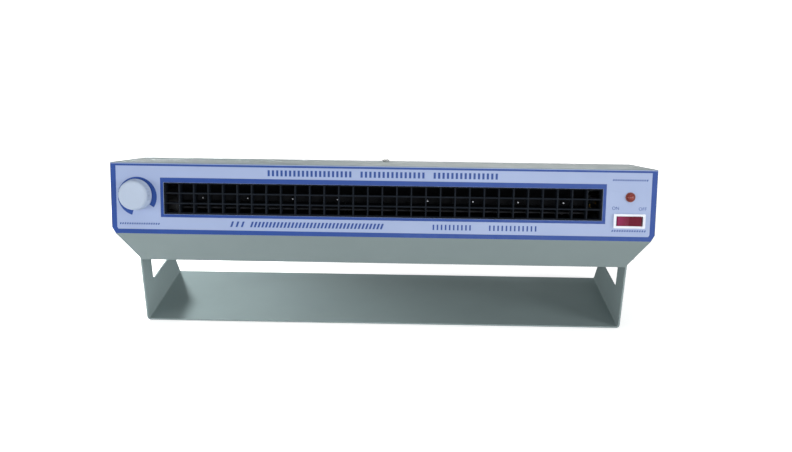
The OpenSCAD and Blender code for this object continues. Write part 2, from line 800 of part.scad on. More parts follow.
// The rocker in its middle position, about its trunnion
module rocker_shape() {
    dish = rocker_w / 2 * tan(rocker_rest);
    face = rocker_pivot + overlay_t + 1.4;
    intersection() {
        translate([0, 0, -rocker_h / 2]) linear_extrude(rocker_h)
            polygon([[-rocker_w / 2, -face - dish], [0, -face], [rocker_w / 2, -face - dish],
                     [rocker_w / 2, 1], [3, 4], [-3, 4], [-rocker_w / 2, 1]]);
        translate([0, 0, -rocker_h / 2 - 1]) cylinder(r = rocker_w / 2, h = rocker_h + 2, $fn = 96);
    }
    translate([0, 0, -rocker_h / 2 - 1]) cylinder(r = trunnion_r, h = rocker_h + 2);
}

module rocker_button() {
    casing() color([0.75, 0.08, 0.16]) translate([control_x, rocker_pivot, switch_u])
        rotate([0, 0, -rocker_rest]) rocker_shape();
}

module switch_body() {
    hole_w = rocker_w + 0.8;
    hole_h = rocker_h + 0.6;
    casing() color([0.93, 0.93, 0.92]) difference() {
        union() {
            through(-overlay_t - 1.8, -overlay_t) at(control_x, switch_u) rounded(bezel_w, bezel_h, 1);
            through(-overlay_t, switch_depth) at(control_x, switch_u)
                square([switch_w, switch_h], center = true);
        }
        through(-overlay_t - 3, rocker_pivot + 5) at(control_x, switch_u)
            square([hole_w, hole_h], center = true);
        translate([control_x, rocker_pivot, switch_u - rocker_h / 2 - 1.05])
            cylinder(r = trunnion_r + run_fit, h = rocker_h + 2.1);
    }
}

module switch_terminals() {
    casing() color(brass) for (x = [-9, 0, 9]) translate([control_x + x - 2.4, switch_depth, switch_u - 0.4])
        cube([4.8, 8, 0.8]);
}

// ---------------------------------------------------------------- rear fittings

module power_inlet() {
    casing() color(black) difference() {
        union() {
            through(rear_b, rear_b + 2.5) at(inlet_x, inlet_u) rounded(inlet_ears + 9, inlet_h + 4, 2);
            through(rear_b - inlet_depth, rear_b) at(inlet_x, inlet_u)
                square([inlet_w - 2 * seat_gap, inlet_h - 2 * seat_gap], center = true);
        }
        through(rear_b - inlet_depth + 3, rear_b + 5) at(inlet_x, inlet_u)
            polygon([[-12, -8], [12, -8], [12, 4], [8, 8], [-8, 8], [-12, 4]]);
        through(rear_b - 1, rear_b + 4) for (s = [-1, 1])
            at(inlet_x + s * inlet_ears / 2, inlet_u) circle(1.7);
        through(rear_b - inlet_depth - 1, rear_b) inlet_pin_outlines();
    }
}

module inlet_pin_outlines() {
    for (p = [[-7, -2], [0, 2], [7, -2]]) at(inlet_x + p[0], inlet_u + p[1]) square([2, 4], center = true);
}

module inlet_pins() {
    casing() color(brass) through(rear_b - inlet_depth - 6, rear_b - 7) inlet_pin_outlines();
}

module fuse_holder() {
    casing() color(black) translate([inlet_x, rear_b, fuse_u]) difference() {
        union() {
            y_cylinder(7.5, 2);
            translate([0, -22, 0]) y_cylinder(6, 22);
        }
        translate([0, -20, 0]) y_cylinder(3.6, 30);
    }
}

module fuse_cap() {
    casing() color(black) translate([inlet_x, rear_b + 2, fuse_u]) {
        y_cylinder(6, 5);
        translate([0, -20, 0]) y_cylinder(3, 20);
    }
}

module ground_stud() {
    casing() color(brass) translate([stud_x, rear_b - sheet_t - 3, stud_u]) {
        y_cylinder(2, 14);
        y_cylinder(4, 3, $fn = 6);
    }
}

module ground_nut() {
    casing() color(brass) translate([stud_x, rear_b, stud_u]) difference() {
        union() {
            y_cylinder(4.5, 0.8);
            translate([0, 0.8, 0]) y_cylinder(4, 3.2, $fn = 6);
        }
        translate([0, -1, 0]) y_cylinder(2, 8);
    }
}

stand_bracket();
tilt_knob_left();
tilt_knob_right();
tilt_washers();
clamp_nuts();
front_panel();
panel_overlay();
top_cover();
chassis_tray();
cover_screws();
outlet_grille();
intake_grille();
intake_screws();
filter_mat();
air_scroll();
air_tongue();
end_plate_left();
end_plate_right();
impeller();
impeller_shaft();
shaft_coupler();
bearing_block();
bearing_bush();
fan_motor();
motor_grommets();
motor_screws();
emitter_rail();
emitter_pins();
ground_rod();
hv_transformer();
control_board();
board_parts();
board_pillars();
speed_knob();
pot_shaft();
pot_body();
pot_nut();
lamp_lens();
lamp_holder();
rocker_button();
switch_body();
switch_terminals();
power_inlet();
inlet_pins();
fuse_holder();
fuse_cap();
ground_stud();
ground_nut();
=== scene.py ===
"""Looks for the benchtop ionizing blower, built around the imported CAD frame."""
import json
import math
import random

import bmesh
import bpy
from mathutils import Matrix, Vector

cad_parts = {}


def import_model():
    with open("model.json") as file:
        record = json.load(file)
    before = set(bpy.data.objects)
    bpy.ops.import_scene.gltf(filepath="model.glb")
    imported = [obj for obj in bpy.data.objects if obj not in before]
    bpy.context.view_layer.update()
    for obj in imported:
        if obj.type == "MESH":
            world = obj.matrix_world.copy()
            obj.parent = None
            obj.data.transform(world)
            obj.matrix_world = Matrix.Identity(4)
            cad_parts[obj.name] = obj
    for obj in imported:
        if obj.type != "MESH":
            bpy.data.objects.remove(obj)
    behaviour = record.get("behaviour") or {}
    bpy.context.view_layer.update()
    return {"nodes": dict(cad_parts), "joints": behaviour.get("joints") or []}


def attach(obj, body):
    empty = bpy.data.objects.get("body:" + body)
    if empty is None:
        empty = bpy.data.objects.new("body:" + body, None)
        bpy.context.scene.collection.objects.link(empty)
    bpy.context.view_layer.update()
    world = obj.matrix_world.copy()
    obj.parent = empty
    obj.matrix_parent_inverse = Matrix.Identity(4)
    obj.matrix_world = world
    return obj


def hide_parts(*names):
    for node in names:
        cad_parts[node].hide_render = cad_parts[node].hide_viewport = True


MM = 0.001
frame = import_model()
nodes = frame["nodes"]
joints = {j["name"]: j for j in frame["joints"]}


# ------------------------------------------------------------------ the casing's own frame
def lowest(node, direction):
    """Where a CAD node begins along a direction."""
    return min(v.co.dot(direction) for v in nodes[node].data.vertices)


# x along the casing, b = depth behind the front panel, u = height above the cover's lower edge, where
# the front panel folds back. The tilt axis lies at PIVOT_B and PIVOT_U in it, to a tenth of a millimetre.
PIVOT = Vector(joints["casing_tilt"]["pos_m"])
RIGHT = Vector((1, 0, 0))
BACK = Vector(joints["speed_turn"]["axis"])
UP = RIGHT.cross(BACK)
PIVOT_B = round(PIVOT.dot(BACK) - lowest("front_panel", BACK), 4)
PIVOT_U = round(PIVOT.dot(UP) - lowest("top_cover", UP), 4)
TURN = Matrix.Rotation(math.atan2(BACK.z, BACK.y), 4, "X")
CASE = Matrix.Translation(PIVOT) @ TURN @ Matrix.Translation((0, -PIVOT_B, -PIVOT_U))
INTO_CASE = CASE.inverted()
WORLD = Matrix.Identity(4)


class Extent:
    """How far a CAD node reaches in the casing's own frame, to a tenth of a millimetre."""

    def __init__(self, node):
        points = [INTO_CASE @ v.co for v in nodes[node].data.vertices]
        self.x0, self.b0, self.u0 = [round(min(p[i] for p in points), 4) for i in range(3)]
        self.x1, self.b1, self.u1 = [round(max(p[i] for p in points), 4) for i in range(3)]
        self.x, self.u = (self.x0 + self.x1) / 2, (self.u0 + self.u1) / 2


PANEL = Extent("front_panel")
OVERLAY = Extent("panel_overlay")
OUTLET = Extent("outlet_grille")
INTAKE = Extent("intake_grille")
KNOB = Extent("speed_knob")
LAMP = Extent("lamp_lens")
ROCKER = Extent("rocker_button")
STUD = Extent("ground_stud")
FOAM = Extent("filter_mat")
COVER = Extent("top_cover")
COVER_HEADS = Extent("cover_screws")
INTAKE_HEADS = Extent("intake_screws")


# ------------------------------------------------------------------ materials
def srgb(*levels):
    """Levels of red, green and blue from 0 to 255 as a linear colour."""
    parts = [level / 255 for level in levels]
    return tuple(c / 12.92 if c <= 0.04 else ((c + 0.055) / 1.055) ** 2.4 for c in parts) + (1.0,)


def shade(colour, factor):
    return tuple(min(1.0, c * factor) for c in colour[:3]) + (1.0,)


class Nodes:
    """Short forms for building a node tree."""

    def __init__(self, tree):
        self.tree = tree

    def put(self, socket, value):
        """Sets an input, or links it where the value is a socket."""
        if isinstance(value, bpy.types.NodeSocket):
            self.tree.links.new(value, socket)
        else:
            socket.default_value = value

    def new(self, kind, inputs=None, **settings):
        node = self.tree.nodes.new(kind)
        for key, value in settings.items():
            setattr(node, key, value)
        for key, value in (inputs or {}).items():
            self.put(node.inputs[key], value)
        return node

    def math(self, operation, a, b):
        return self.new("ShaderNodeMath", {0: a, 1: b}, operation=operation).outputs[0]

    def span(self, value, low, high, from_low=0.3, from_high=0.7):
        """`value` moved from one range to another."""
        inputs = {"Value": value, "From Min": from_low, "From Max": from_high, "To Min": low, "To Max": high}
        return self.new("ShaderNodeMapRange", inputs).outputs["Result"]


class Finish(Nodes):
    """A material with its shader and the coordinates that ride with the piece."""

    def __init__(self, name):
        self.material = bpy.data.materials.new(name)
        self.material.use_nodes = True
        super().__init__(self.material.node_tree)
        self.shader = self.tree.nodes["Principled BSDF"]
        self.coords = self.new("ShaderNodeTexCoord").outputs["Object"]

    def noise(self, scale, detail=3.0, rough=0.55):
        inputs = {"Vector": self.coords, "Scale": scale, "Detail": detail, "Roughness": rough}
        return self.new("ShaderNodeTexNoise", inputs).outputs["Fac"]

    def ramp(self, value, stops):
        """The colour at `value` between two stops, each a position and a colour."""
        node = self.new("ShaderNodeValToRGB", {"Fac": value})
        for element, (position, colour) in zip(node.color_ramp.elements, stops):
            element.position = position
            element.color = colour
        return node.outputs["Color"]

    def bump(self, height, strength, depth, under=None):
        """Relief of that depth in millimetres, on top of the relief `under`."""
        inputs = {"Height": height, "Strength": strength, "Distance": depth * MM}
        if under is not None:
            inputs["Normal"] = under
        return self.new("ShaderNodeBump", inputs).outputs["Normal"]

    def surface(self, inputs):
        """Sets the shader's inputs and returns the material."""
        for key, value in inputs.items():
            self.put(self.shader.inputs[key], value)
        return self.material


def finish_of(name, colour, rough, drift, relief, metal=0.0, specular=0.5, rough_vary=0.06):
    """A finish whose colour and roughness drift, with layers of fine relief.

    drift is the colour's share and the noise's scale. A layer of relief is its scale, strength and
    depth in mm.
    """
    n = Finish(name)
    share, scale = drift
    ends = [(0.3, shade(colour, 1 - share)), (0.7, shade(colour, 1 + share))]
    normal = None
    for grain, strength, depth in relief:
        normal = n.bump(n.noise(grain, 2.0, 0.5), strength, depth, normal)
    return n.surface({
        "Base Color": n.ramp(n.noise(scale, 4.0), ends),
        "Metallic": metal,
        "Roughness": n.span(n.noise(scale * 6), rough - rough_vary, rough + rough_vary),
        "Specular IOR Level": specular,
        "Normal": normal,
    })


def lamp_finish():
    n = Finish("lamp lens")
    return n.surface({
        "Base Color": n.ramp(n.noise(700, 2.0), [(0.35, srgb(108, 36, 32)), (0.65, srgb(146, 58, 44))]),
        "Roughness": n.span(n.noise(500), 0.10, 0.18),
        "Specular IOR Level": 0.3,
        "Emission Color": srgb(255, 92, 48),
        "Emission Strength": 0.02,
        "Normal": n.bump(n.noise(900, 1.0), 0.1, 0.05),
    })


def rocker_finish():
    """Clear red moulding with a painted highlight that brightens its left end, and a faint painted glow."""
    n = Finish("rocker plastic")
    # the painted highlight fades from the left end towards the middle
    highlight_from, highlight_to = ROCKER.x0 + 1 * MM, ROCKER.x + 1 * MM
    along = n.new("ShaderNodeSeparateXYZ", {"Vector": n.coords}).outputs["X"]
    near = n.span(along, 1.0, 0.0, highlight_from, highlight_to)
    inputs = {"Factor": near, "A": srgb(102, 20, 42), "B": srgb(136, 26, 76)}
    red = n.new("ShaderNodeMix", inputs, data_type="RGBA").outputs["Result"]
    return n.surface({
        "Base Color": red,
        # a faint painted glow in the same red
        "Emission Color": red,
        "Emission Strength": 0.03,
        "Roughness": n.span(n.noise(300), 0.30, 0.42),
        "Specular IOR Level": 0.12,
        "Normal": n.bump(n.noise(700, 1.0), 0.06, 0.05),
    })


PAINT = srgb(136, 150, 151)
FINISHES = {
    # painted and printed
    # casing and stand wear one paint; the stand's copy is painted lighter than the casing's, as painted light
    "casing": finish_of("casing powder coat", shade(PAINT, 0.95), 0.62, drift=(0.035, 9),
                        relief=[(1100, 0.25, 0.06), (260, 0.08, 0.2)], specular=0.12),
    "stand": finish_of("stand powder coat", shade(PAINT, 1.1), 0.50, drift=(0.04, 8),
                       relief=[(1100, 0.25, 0.06)], specular=0.0, rough_vary=0.02),
    "overlay": finish_of("overlay film", srgb(157, 173, 208), 0.42, drift=(0.02, 6),
                         relief=[(2600, 0.10, 0.02)], specular=0.35),
    "print": finish_of("printing ink", srgb(32, 68, 142), 0.45, drift=(0.05, 30),
                       relief=[(2600, 0.06, 0.02)], specular=0.3),
    # mouldings
    "grille": finish_of("grille plastic", srgb(15, 21, 29), 0.7, drift=(0.12, 40),
                        relief=[(1500, 0.15, 0.04)], specular=0.12),
    "knob": finish_of("knob plastic", srgb(176, 190, 210), 0.5, drift=(0.02, 40),
                      relief=[(1800, 0.10, 0.03)], specular=0.3),
    "bezel": finish_of("bezel plastic", srgb(222, 228, 238), 0.32, drift=(0.015, 40),
                       relief=[(1600, 0.06, 0.03)]),
    "black": finish_of("moulded black", srgb(30, 31, 34), 0.40, drift=(0.12, 60),
                       relief=[(1300, 0.2, 0.04)]),
    "collar": finish_of("lamp collar", srgb(128, 66, 58), 0.4, drift=(0.08, 60),
                        relief=[(1500, 0.1, 0.03)], specular=0.25),
    # the emitter rail's insulator is painted near-black: painted shade inside the casing
    "insulator": finish_of("insulator", srgb(16, 18, 22), 0.7, drift=(0.1, 40),
                           relief=[(1200, 0.1, 0.03)], specular=0.1),
    "lamp": lamp_finish(),
    "rocker": rocker_finish(),
    # metals
    "steel": finish_of("plated steel", srgb(196, 197, 195), 0.30, drift=(0.08, 90),
                       relief=[(1500, 0.15, 0.03)], metal=1.0, rough_vary=0.1),
    "knurl": finish_of("turned steel", srgb(188, 190, 194), 0.34, drift=(0.08, 90),
                       relief=[(1800, 0.2, 0.03)], metal=1.0, rough_vary=0.08),
    "brass": finish_of("brass", srgb(206, 172, 98), 0.30, drift=(0.08, 120),
                       relief=[(1500, 0.12, 0.03)], metal=1.0, rough_vary=0.1),
    # the ground rod is painted dark: painted shade inside the casing
    "rod": finish_of("ground rod in painted shade", srgb(46, 48, 52), 0.55, drift=(0.1, 60),
                     relief=[(1200, 0.1, 0.03)], metal=0.6, specular=0.2),
    "motor": finish_of("motor can", srgb(120, 122, 126), 0.35, drift=(0.08, 60),
                       relief=[(1200, 0.1, 0.04)], metal=0.9),
    "pin": finish_of("emitter metal", srgb(120, 122, 126), 0.4, drift=(0.04, 90),
                     relief=[(1500, 0.05, 0.02)], metal=1.0),
    # air path, soft parts and electrics
    # the air path and the impeller are painted near-black: painted shade inside the casing
    "airpath": finish_of("air path sheet in painted shade", srgb(12, 14, 17), 0.8, drift=(0.15, 25),
                         relief=[(900, 0.15, 0.05)], specular=0.1),
    "impeller": finish_of("impeller blades", srgb(18, 22, 27), 0.6, drift=(0.15, 25),
                          relief=[(700, 0.1, 0.05)], specular=0.2),
    "foam": finish_of("filter foam", srgb(44, 44, 46), 0.95, drift=(0.35, 900),
                      relief=[(1500, 0.8, 0.4)], specular=0.1),
    "rubber": finish_of("rubber", srgb(24, 24, 24), 0.75, drift=(0.2, 70),
                        relief=[(900, 0.25, 0.05)]),
    "fibre": finish_of("fibre washer", srgb(44, 42, 42), 0.8, drift=(0.2, 300),
                       relief=[(1500, 0.3, 0.06)]),
    "potting": finish_of("potting compound", srgb(22, 24, 30), 0.22, drift=(0.2, 40),
                         relief=[(200, 0.15, 0.2)]),
    "board": finish_of("circuit board", srgb(20, 92, 52), 0.35, drift=(0.25, 260),
                       relief=[(1400, 0.2, 0.04)]),
    "parts": finish_of("board components", srgb(60, 62, 86), 0.4, drift=(0.3, 120),
                       relief=[(900, 0.1, 0.04)]),
}


# ------------------------------------------------------------------ mesh helpers
FLAT_FROM = 4 * MM  # a face wider than this is shaded flat
SLIVER = 0.001 * MM  # an edge shorter than this is dissolved


def add(name, mesh, finish, body, place=CASE, stands_for=None, smooth=32):
    """Turns a mesh into a piece of the object: shaded, placed, riding on its body.

    Edges that turn by more than `smooth` degrees stay sharp, and stands_for is the CAD node that it replaces.
    """
    if isinstance(mesh, bmesh.types.BMesh):
        mesh = from_bm(name, mesh)
    o = bpy.data.objects.new(name, mesh)
    bpy.context.scene.collection.objects.link(o)
    o.matrix_world = place
    mesh.materials.clear()
    mesh.materials.append(FINISHES[finish])
    mesh.shade_smooth()
    mesh.set_sharp_from_angle(angle=math.radians(smooth))
    for face in mesh.polygons:
        longest = max((mesh.vertices[a].co - mesh.vertices[b].co).length for a, b in face.edge_keys)
        face.use_smooth = face.area < FLAT_FROM * longest
    normals = o.modifiers.new("weighted normals", "WEIGHTED_NORMAL")
    normals.keep_sharp = True
    normals.weight = 100
    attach(o, body)
    if stands_for:
        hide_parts(stands_for)


def from_bm(name, bm):
    """The finished mesh of `bm`, with its faces turned outwards."""
    bmesh.ops.recalc_face_normals(bm, faces=bm.faces)
    mesh = bpy.data.meshes.new(name)
    bm.to_mesh(mesh)
    bm.free()
    return mesh


def without_slivers(mesh):
    """The mesh with its faces of no area dissolved."""
    bm = bmesh.new()
    bm.from_mesh(mesh)
    bmesh.ops.dissolve_degenerate(bm, dist=SLIVER, edges=bm.edges)
    bm.to_mesh(mesh)
    bm.free()
    return mesh


def evaluated(o, *others):
    """The mesh of an object with its modifiers applied. The object and `others` are removed."""
    for each in (o, *others):
        bpy.context.scene.collection.objects.link(each)
    mesh = bpy.data.meshes.new_from_object(o.evaluated_get(bpy.context.evaluated_depsgraph_get()))
    for each in (o, *others):
        bpy.data.objects.remove(each)
    return mesh


def rounded(node, radius):
    """A copy of a CAD node's mesh with its arrises rounded."""
    flat, any_shape, arris = math.radians(0.6), math.pi, math.radians(28)
    bm = bmesh.new()
    bm.from_mesh(nodes[node].data)
    bmesh.ops.remove_doubles(bm, verts=bm.verts, dist=2 * SLIVER)
    bmesh.ops.join_triangles(bm, faces=bm.faces, angle_face_threshold=flat, angle_shape_threshold=any_shape)
    blank = bpy.data.objects.new("blank", from_bm(node, bm))
    bevel = blank.modifiers.new("round", "BEVEL")
    bevel.width = radius
    bevel.segments = 2
    bevel.limit_method = "ANGLE"
    bevel.angle_limit = arris
    bevel.use_clamp_overlap = True
    bevel.miter_outer = "MITER_ARC"
    return without_slivers(evaluated(blank))


def square_to(axis):
    """Two unit vectors at right angles to a unit axis and to each other."""
    along_x = abs(axis.x) > 0.9
    x = Vector((0, 0, 1)) if along_x else Vector((1, 0, 0))
    x = (x - axis * x.dot(axis)).normalized()
    return x, axis.cross(x)


def wall(bm, loops, closed=True):
    """Joins rows of vertices with quads; closed rows are rings."""
    for a, b in zip(loops, loops[1:]):
        n = len(a)
        for i in range(n if closed else n - 1):
            bm.faces.new((a[i], a[(i + 1) % n], b[(i + 1) % n], b[i]))


def ring(bm, outline, b):
    """The vertices of an (x, height) outline at depth b."""
    return [bm.verts.new((x, b, u)) for x, u in outline]


def prism(bm, outline, b0, b1):
    """A plate with that outline from depth b0 to b1."""
    front, back = ring(bm, outline, b0), ring(bm, outline, b1)
    wall(bm, [front, back])
    bm.faces.new(front)
    bm.faces.new(back[::-1])


def band(bm, outer, inner, b0, b1):
    """A closed frame between two outlines with the same number of points."""
    outer_front, outer_back = ring(bm, outer, b0), ring(bm, outer, b1)
    inner_front, inner_back = ring(bm, inner, b0), ring(bm, inner, b1)
    wall(bm, [inner_front, outer_front, outer_back, inner_back, inner_front])


def revolve(bm, profile, foot, toward=(0, -1, 0), segments=64, radial=None, closed=False):
    """Turns (radius, height) points about the axis that runs from `foot` along `toward`.

    radial(angle, radius, height) scales the radius, and a closed profile joins its last point to its first.
    """
    on_axis = SLIVER
    z = Vector(toward)
    x, y = square_to(z)
    rings = []
    for r, h in profile:
        centre = Vector(foot) + z * h
        if r < on_axis:
            rings.append(bm.verts.new(centre))
            continue
        points = []
        for i in range(segments):
            a = 2 * math.pi * i / segments
            reach = r * (radial(a, r, h) if radial else 1.0)
            points.append(bm.verts.new(centre + x * reach * math.cos(a) + y * reach * math.sin(a)))
        rings.append(points)
    following = rings[1:] + rings[:1] if closed else rings[1:]
    for a, b in zip(rings, following):
        if isinstance(a, list) and isinstance(b, list):
            wall(bm, [a, b])
            continue
        for i in range(segments):
            after = (i + 1) % segments
            bm.faces.new((a[i], a[after], b) if isinstance(a, list) else (a, b[after], b[i]))


def arc(cx, cy, r, start, end, n):
    """Points on an arc between two angles in degrees."""
    angles = [math.radians(start + (end - start) * i / n) for i in range(n + 1)]
    return [(cx + r * math.cos(a), cy + r * math.sin(a)) for a in angles]


# ------------------------------------------------------------------ pieces that keep the CAD's shape
# nodes that only take a finish
REFINISHED = {
    # airpath, impeller, insulator and rod are near-black finishes: painted shade inside the casing
    "airpath": ["air_scroll", "air_tongue", "end_plate_left", "end_plate_right"],
    "black": ["bearing_block", "pot_body"],
    "board": ["control_board"],
    "brass": ["bearing_bush", "board_pillars", "switch_terminals", "inlet_pins", "ground_nut"],
    "fibre": ["tilt_washers"],
    "impeller": ["impeller"],
    "insulator": ["emitter_rail"],
    "motor": ["fan_motor"],
    "parts": ["board_parts"],
    "pin": ["emitter_pins"],
    "potting": ["hv_transformer"],
    "rod": ["ground_rod"],
    "rubber": ["shaft_coupler", "motor_grommets"],
    "steel": ["clamp_nuts", "impeller_shaft", "motor_screws", "pot_shaft", "pot_nut"],
}
for finish, names in REFINISHED.items():
    for name in names:
        nodes[name].data.materials.clear()
        nodes[name].data.materials.append(FINISHES[finish])

# nodes shown with rounded arrises: node, piece, finish, body, slot, radius in mm
ROUNDED = [
    ("stand_bracket", "stand_sheet", "stand", "stand", "stand_paint", 0.55),
    ("front_panel", "panel_sheet", "casing", "casing", "casing_paint", 0.5),
    ("top_cover", "cover_sheet", "casing", "casing", "casing_paint", 0.5),
    ("chassis_tray", "tray_sheet", "casing", "casing", "casing_paint", 0.4),
    ("panel_overlay", "overlay_film", "overlay", "casing", "printed_overlay", 0.12),
    ("power_inlet", "inlet_shell", "black", "casing", "moulded_black", 0.5),
    ("switch_body", "switch_bezel", "bezel", "casing", "bezel_white", 0.5),
    ("rocker_button", "rocker_cap", "rocker", "rocker", "rocker_red", 0.6),
    ("tilt_knob_left", "thumb_knob_left", "knurl", "tilt_knob_left", "knurled_steel", 0.25),
    ("tilt_knob_right", "thumb_knob_right", "knurl", "tilt_knob_right", "knurled_steel", 0.25),
    ("fuse_holder", "fuse_shell", "black", "casing", "moulded_black", 0.4),
    ("fuse_cap", "fuse_knob", "black", "casing", "moulded_black", 0.6),
]
for node, piece, finish, body, slot, radius in ROUNDED:
    add(piece, rounded(node, radius * MM), finish, body, WORLD, node)


# ------------------------------------------------------------------ grilles
OUTLET_FLANGE = 4 * MM


def lattice(xs, us, b0, b1, radius):
    """A plate from b0 to b1 with rounded arrises, pierced in every other field of the grid of xs and us."""
    arris = 1.0  # radians between the two faces
    bm = bmesh.new()
    grid = [ring(bm, [(x, u) for u in us], b0) for x in xs]
    for i in range(len(xs) - 1):
        for j in range(len(us) - 1):
            pierced = i % 2 and j % 2
            if not pierced:
                bm.faces.new((grid[i][j], grid[i + 1][j], grid[i + 1][j + 1], grid[i][j + 1]))
    out = bmesh.ops.extrude_face_region(bm, geom=bm.faces[:])
    moved = [v for v in out["geom"] if isinstance(v, bmesh.types.BMVert)]
    bmesh.ops.translate(bm, verts=moved, vec=(0, b1 - b0, 0))
    bmesh.ops.recalc_face_normals(bm, faces=bm.faces)
    arrises = [e for e in bm.edges if e.calc_face_angle(0) > arris]
    bmesh.ops.bevel(bm, geom=arrises, offset=radius, segments=2, profile=0.5, affect="EDGES",
                    clamp_overlap=True)
    return bm


def outlet_edge(side, below, above):
    """The outline of the outlet opening, moved out by those three amounts."""
    x = OUTLET.x1 - OUTLET_FLANGE + side
    low, high = OUTLET.u0 + OUTLET_FLANGE - below, OUTLET.u1 - OUTLET_FLANGE + above
    return [(-x, low), (x, low), (x, high), (-x, high)]


def outlet_grille():
    """The egg crate and the thin flange round it."""
    bar, rows, cols = 1.5 * MM, 3, 30
    flange_t, gap = 2 * MM, 0.02 * MM
    (left, low), _, (right, high), _ = outlet_edge(0, 0, 0)
    pitch_x = (right - left - bar) / cols
    pitch_u = (high - low - bar) / rows
    xs = [left + i * pitch_x + side for i in range(cols + 1) for side in (0, bar)]
    us = [low + i * pitch_u + side for i in range(rows + 1) for side in (0, bar)]
    bm = lattice(xs, us, OUTLET.b0, OUTLET.b1, 0.3 * MM)
    outer = outlet_edge(OUTLET_FLANGE, OUTLET_FLANGE, OUTLET_FLANGE)
    inner = outlet_edge(gap, gap, gap)
    band(bm, outer, inner, OUTLET.b0, OUTLET.b0 + flange_t)
    add("outlet_louvre", bm, "grille", "casing", stands_for="outlet_grille")


def intake_grille():
    """Two rows of upright slots in a plain rim."""
    rim, slot, pitch, post = 7 * MM, 4 * MM, 8 * MM, 4 * MM
    window_w, window_h = INTAKE.x1 - INTAKE.x0 - 2 * rim, INTAKE.u1 - INTAKE.u0 - 2 * rim
    last = int((window_w - slot) / pitch)
    xs = [INTAKE.x0]
    for i in range(last + 1):
        middle = (i - last / 2) * pitch
        xs += [middle - slot / 2, middle + slot / 2]
    xs.append(INTAKE.x1)
    half_slot = (window_h / 2 - post) / 2
    us = [INTAKE.u0]
    for middle in (INTAKE.u - window_h / 4, INTAKE.u + window_h / 4):
        us += [middle - half_slot, middle + half_slot]
    us.append(INTAKE.u1)
    bm = lattice(xs, us, INTAKE.b0, INTAKE.b1, 0.35 * MM)
    add("intake_louvre", bm, "grille", "casing", stands_for="intake_grille")


outlet_grille()
intake_grille()


# ------------------------------------------------------------------ printing on the front
PRINT_T = 0.05 * MM
PRINT_FRONT = OVERLAY.b0 - PRINT_T
PRINT_BACK = OVERLAY.b0 + PRINT_T


def add_print(name, mesh):
    add(name, mesh, "print", "casing")


def cut_rectangle(half, low, high, cut_w, cut_h):
    """A rectangle whose two lower corners are cut off."""
    foot = [(-half + cut_w, low), (half - cut_w, low), (half, low + cut_h)]
    return foot + [(half, high), (-half, high), (-half, low + cut_h)]


def border():
    """The coloured edge round the whole panel."""
    edge, top_edge, corner_w, corner_h = OVERLAY.u0 + 0.05 * MM, 1.3 * MM, 4 * MM, 7 * MM
    side, low, top, inner_w, inner_h = 6.2 * MM, 5.5 * MM, 3.5 * MM, 1.2 * MM, 2.1 * MM
    bm = bmesh.new()
    outer = cut_rectangle(PANEL.x1 - edge, edge, PANEL.u1 - top_edge, corner_w, corner_h)
    inner = cut_rectangle(PANEL.x1 - side, low, PANEL.u1 - top, inner_w, inner_h)
    band(bm, outer, inner, PRINT_FRONT, PRINT_BACK)
    add_print("border_print", bm)


def outlet_frame():
    """The coloured edge round the outlet, broader above it."""
    gap = 0.15 * MM
    bm = bmesh.new()
    band(bm, outlet_edge(3.5 * MM, 3.3 * MM, 5.3 * MM), outlet_edge(gap, gap, gap), PRINT_FRONT, PRINT_BACK)
    add_print("outlet_frame_print", bm)


def dial():
    """The printed arc round the knob, a little off its centre."""
    centre_x, centre_u = KNOB.x + 1 * MM, KNOB.u - 2.1 * MM
    start, end = -34, 253
    inside, outside = [arc(centre_x, centre_u, r, start, end, 72) for r in (16 * MM, 21.6 * MM)]
    bm = bmesh.new()
    outer_front, inner_front = ring(bm, outside, PRINT_FRONT), ring(bm, inside, PRINT_FRONT)
    outer_back, inner_back = ring(bm, outside, PRINT_BACK), ring(bm, inside, PRINT_BACK)
    wall(bm, [outer_front, inner_front, inner_back, outer_back, outer_front], closed=False)
    for i in (0, -1):
        bm.faces.new((outer_front[i], outer_back[i], inner_back[i], inner_front[i]))
    add_print("dial_print", bm)


def dashes(name, groups, foot, height=2.0, width=1.4, pitch=2.5, slant=0.35):
    """A row of dashes in groups from x to x: plain marks where a printed panel carries its wording.

    All sizes are in mm, and slant is how far a dash leans over its height.
    """
    bm = bmesh.new()
    low, high = foot, foot + height
    lean = height * slant
    for start, end in groups:
        count = int((end - start) / pitch)
        step = (end - start - width) / (count - 1)
        for i in range(count):
            x = start + i * step
            outline = [(x, low), (x + width, low), (x + width + lean, high), (x + lean, high)]
            prism(bm, [(px * MM, pu * MM) for px, pu in outline], PRINT_FRONT, PRINT_BACK)
    add_print(name, bm)


def word(name, text, x, u, size=5.0):
    """A printed word about its middle; sizes in mm."""
    curve = bpy.data.curves.new(name, "FONT")
    curve.body = text
    curve.size = size * MM
    curve.align_x = "CENTER"
    curve.align_y = "CENTER"
    curve.extrude = PRINT_T
    mesh = evaluated(bpy.data.objects.new("blank", curve))
    mesh.transform(Matrix.Translation((x * MM, OVERLAY.b0, u * MM)) @ Matrix.Rotation(math.pi / 2, 4, "X"))
    add_print(name, mesh)


border()
outlet_frame()
dial()
dashes("heading_print", [(-126, -34), (-24, 46), (56, 126)], 66.2, height=6.6, width=2.4, pitch=4.4, slant=0)
dashes("lower_left_print", [(-168, -154), (-146, 0)], 9.4, height=6.2, width=2.2, pitch=4.0)
dashes("lower_right_print", [(56, 98), (118, 170)], 9.6, height=6.0, width=1.7, pitch=4.2, slant=0)
dashes("knob_caption_print", [(-291, -247)], 10.6)
dashes("lamp_caption_print", [(251, 289)], 66.6)
dashes("switch_caption_print", [(252, 289)], 10.8)
word("on_print", "ON", 255.5, 36.6)
word("off_print", "OFF", 285.0, 36.2)


